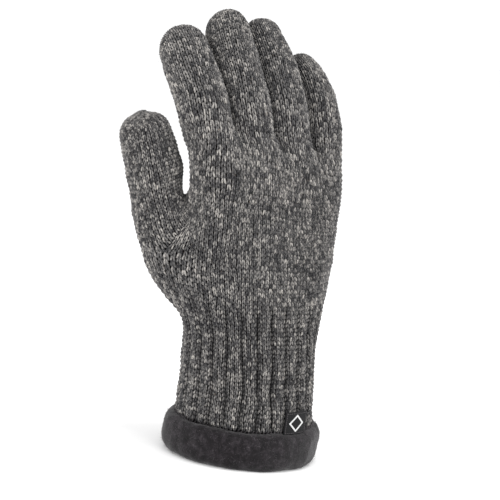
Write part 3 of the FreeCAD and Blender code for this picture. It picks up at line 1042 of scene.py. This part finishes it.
def makeSeam():
    rng = np.random.default_rng(6)

    def placeThread(leg, share, turn):
        if leg:      # a running loop along the foot of the seam
            return Vector((share * 1.1 - 0.05, 0.05 * math.cos(turn), 0.05 * math.sin(turn) + 0.02))
        lean = 0.15 + 0.7 * share
        bow = math.sin(math.pi * share)
        return Vector((lean + 0.09 * math.cos(turn), share, 0.1 * bow + 0.1 * math.sin(turn)))

    shape, faces, *_ = strandShape(5, 3, placeThread, legs=2)
    points = []
    for i in range(seam["stitches"]):
        tall = rng.uniform(0.85, 1.1)
        for across, up, out in shape:
            turn = 2 * math.pi * (i + across) / seam["stitches"]
            normal = Vector((math.cos(turn) / seam["halfX"], math.sin(turn) / seam["halfY"], 0))
            normal.normalize()
            ring = Vector((seam["halfX"] * math.cos(turn), seam["halfY"] * math.sin(turn), 0))
            height = seam["low"] + (seam["high"] - seam["low"]) * up * tall
            points.append(ring + normal * (out * 4.2 * mm - 0.2 * mm) + Vector((0, 0, height)))
    mesh = meshOf("overlock_seam", points, [(0, faces, len(shape), seam["stitches"])])
    mesh.materials.append(greyThread)
    piece = showObject("overlock_seam", mesh)
    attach(piece, "cuff")
    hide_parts("hem_seam_thread")


makeSeam()

# the little woven label, sewn on just above the roll, with a plain diamond on it
label = {"width": 15.5 * mm, "height": 13.5 * mm, "thick": 0.8 * mm,
         "turn": math.radians(18), "drop": 1.2 * mm,
         "off": 0.9 * mm, "mark": 5.2 * mm, "line": 1.25 * mm, "step": 1.25 * mm, "stitch": 0.28 * mm}


def onCuff(x, z, off):
    # a point on the outside of the cuff, x along it from the label's middle
    radius = math.hypot(roll["halfX"] * math.sin(label["turn"]), roll["halfY"] * math.cos(label["turn"]))
    turn = label["turn"] + x / radius
    normal = Vector((math.sin(turn) / roll["halfX"], -math.cos(turn) / roll["halfY"], 0)).normalized()
    base = Vector((roll["halfX"] * math.sin(turn), -roll["halfY"] * math.cos(turn), 0))
    return base + normal * off + Vector((0, 0, glove["hem"] + label["height"] / 2 - label["drop"] + z))


def makeLabel():
    form = bmesh.new()
    bmesh.ops.create_grid(form, x_segments=24, y_segments=20, size=0.5)
    for vert in form.verts:
        vert.co = Vector((vert.co.x * label["width"], vert.co.y * label["height"], 0))
    bmesh.ops.solidify(form, geom=form.faces[:], thickness=label["thick"])
    bmesh.ops.recalc_face_normals(form, faces=form.faces)
    rim = [edge for edge in form.edges if edge.calc_face_angle(0) > 1]
    bmesh.ops.bevel(form, geom=rim, offset=0.28 * mm, affect="EDGES", segments=3, profile=0.5, material=-1)
    low = min(vert.co.z for vert in form.verts)
    for vert in form.verts:
        vert.co = onCuff(vert.co.x, vert.co.y, label["off"] + vert.co.z - low)
    bmesh.ops.recalc_face_normals(form, faces=form.faces)
    mesh = bpy.data.meshes.new("woven_patch")
    form.to_mesh(mesh)
    form.free()
    mesh.materials.append(blackWeave)
    piece = showObject("woven_patch", mesh)
    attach(piece, "cuff")
    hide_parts("woven_label")

    top = label["off"] + label["thick"]
    form = bmesh.new()
    bmesh.ops.create_circle(form, cap_ends=True, segments=4, radius=label["mark"])
    rim = bmesh.ops.inset_individual(form, faces=form.faces[:], thickness=label["line"])["faces"]
    bmesh.ops.delete(form, geom=[face for face in form.faces if face not in rim], context="FACES")
    bmesh.ops.subdivide_edges(form, edges=form.edges[:], cuts=3, use_grid_fill=True)
    bmesh.ops.solidify(form, geom=form.faces[:], thickness=0.3 * mm)
    low = min(vert.co.z for vert in form.verts)
    for vert in form.verts:
        vert.co = onCuff(vert.co.x, vert.co.y, top - 0.1 * mm + vert.co.z - low)
    bmesh.ops.recalc_face_normals(form, faces=form.faces)
    mesh = bpy.data.meshes.new("diamond_mark")
    form.to_mesh(mesh)
    form.free()
    mesh.materials.append(whiteWeave)
    piece = showObject("diamond_mark", mesh)
    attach(piece, "cuff")
    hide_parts("label_mark")

    runs = []
    inX = label["width"] / 2 - 0.9 * mm
    inZ = label["height"] / 2 - 0.9 * mm
    for side in (-1, 1):
        for x in np.arange(-inX, inX, label["step"]):
            runs.append((x, side * inZ, 1, 0))
        for z in np.arange(-inZ, inZ, label["step"]):
            runs.append((side * inX, z, 0, 1))
    shape, faces, *_ = strandShape(6, 3, lambda leg, share, turn: Vector((
        share, math.cos(turn) * (0.4 + math.sin(math.pi * share)),
        math.sin(turn) * (0.4 + math.sin(math.pi * share)))))
    points = []
    for x, z, alongX, alongZ in runs:
        for share, wide, out in shape:
            reach = share * label["step"] * 0.8
            wide = wide * label["stitch"] * 0.6
            points.append(onCuff(x + alongX * reach + alongZ * wide, z + alongZ * reach + alongX * wide,
                                 top + out * label["stitch"] * 0.5))
    mesh = meshOf("label_sewing", points, [(0, faces, len(shape), len(runs))])
    form = bmesh.new()
    form.from_mesh(mesh)
    bmesh.ops.recalc_face_normals(form, faces=form.faces)
    form.to_mesh(mesh)
    form.free()
    mesh.materials.append(greyThread)
    piece = showObject("label_sewing", mesh)
    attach(piece, "cuff")
    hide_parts("label_stitching")


makeLabel()
print("label")

# the gathered yarn that closes each fingertip
knot = {"radius": 2.7 * mm, "height": 1.1 * mm, "gathers": 7}


def makeKnot(name, centre, way):
    form = bmesh.new()
    bmesh.ops.create_uvsphere(form, u_segments=42, v_segments=14, radius=1)
    side = way.orthogonal().normalized()
    other = way.cross(side)
    for vert in form.verts:
        x, y, z = vert.co
        turn = math.atan2(y, x)
        reach = math.hypot(x, y)
        fold = 1 + 0.16 * math.cos(knot["gathers"] * turn + 3 * z) * reach
        height = z * knot["height"] * (1 - 0.35 * math.exp(-(reach / 0.25) ** 2))
        height += 0.22 * mm * math.cos(knot["gathers"] * turn) * reach
        vert.co = (centre + way * height + side * x * fold * knot["radius"]
                   + other * y * fold * knot["radius"])
    bmesh.ops.recalc_face_normals(form, faces=form.faces)
    for face in form.faces:
        face.smooth = True
    mesh = bpy.data.meshes.new(f"{name}_gather")
    form.to_mesh(mesh)
    form.free()
    giveValue(mesh, "tone", np.full(len(mesh.vertices), 0.5))
    # painted shade: a fixed depth darkens the gathered yarn to a little over half its colour
    giveValue(mesh, "depth", np.full(len(mesh.vertices), 0.55))
    uv = mesh.uv_layers.new(name="yarn")
    for loop in mesh.loops:
        point = mesh.vertices[loop.vertex_index].co - centre
        turn = math.atan2(point.dot(side), point.dot(other))
        uv.data[loop.index].uv = (turn * 1.2, point.length / (2 * mm))
    mesh.materials.append(marlWool)
    piece = showObject(f"{name}_gather", mesh)
    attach(piece, f"{name}_tip")
    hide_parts(f"{name}_closing_yarn")


for name in fingerNames:
    info = fingerPaths[name]
    tip, way = pathAt(info["path"], info["length"] - 0.4 * mm)
    makeKnot(name, tip, way)
makeKnot("thumb", thumbFoot + thumbAlong * (thumbLength - 0.4 * mm), thumbAlong)
print("closing yarns")

# a plain white floor that runs up into the background
floorSize = 4.0
form = bmesh.new()
bmesh.ops.create_grid(form, x_segments=2, y_segments=2, size=floorSize)
floorMesh = bpy.data.meshes.new("floor")
form.to_mesh(floorMesh)
form.free()
floorMaterial, nodes, links, shader = newMaterial("paleFloor")
grain = noiseOf(nodes, 40, 2.0)
links.new(nodes.new("ShaderNodeTexCoord").outputs["Object"], grain.inputs["Vector"])
grainRamp = rampOf(nodes, [(0.3, (0.90, 0.90, 0.90)), (0.7, (0.93, 0.93, 0.93))])
links.new(grain.outputs["Fac"], grainRamp.inputs["Fac"])
links.new(grainRamp.outputs["Color"], shader.inputs["Base Color"])
shader.inputs["Roughness"].default_value = 0.9
floorMesh.materials.append(floorMaterial)
floor = showObject("floor", floorMesh)

world = bpy.data.worlds.new("studio")
scene.world = world
world.use_nodes = True
world.node_tree.nodes["Background"].inputs["Color"].default_value = (1, 1, 1, 1)
world.node_tree.nodes["Background"].inputs["Strength"].default_value = 1.12


def softLight(name, place, target, size, power):
    lamp = bpy.data.lights.new(name, "AREA")
    lamp.shape = "DISK"
    lamp.size = size
    lamp.energy = power
    holder = bpy.data.objects.new(name, lamp)
    holder.matrix_world = (Matrix.Translation(place)
                           @ (Vector(place) - Vector(target)).to_track_quat("Z", "Y").to_matrix().to_4x4())
    scene.collection.objects.link(holder)


middle = Vector((-7, 10, 128)) * mm
softLight("leftLight", (-1.1, -0.5, 0.55), middle, 0.6, 8)
softLight("rightLight", (1.1, -0.75, 0.6), middle, 0.6, 8)
softLight("topLight", (0.1, -0.3, 1.4), middle, 0.8, 6)

# the camera: thumb side of the back of the hand, a little from above, leaning with the glove
shot = {"back": Vector((-0.508, -0.846, 0.162)), "right": Vector((0.857, -0.515, 0.0)),
        "up": Vector((0.0836, 0.139, 0.987)), "roll": math.radians(8.03), "distance": 1.1, "lens": 135.4,
        "drop": 7.78 * mm}
back = shot["back"].normalized()
right = shot["right"] * math.cos(shot["roll"]) + shot["up"] * math.sin(shot["roll"])
right = (right - back * right.dot(back)).normalized()
upward = back.cross(right)
lens = bpy.data.cameras.new("camera")
lens.lens = shot["lens"]
lens.sensor_width = 36
camera = bpy.data.objects.new("camera", lens)
aim = middle - upward * shot["drop"]
turned = Matrix((right, upward, back)).transposed().to_4x4()
camera.matrix_world = Matrix.Translation(aim + back * shot["distance"]) @ turned
scene.collection.objects.link(camera)
scene.camera = camera
scene.view_settings.view_transform = "Standard"
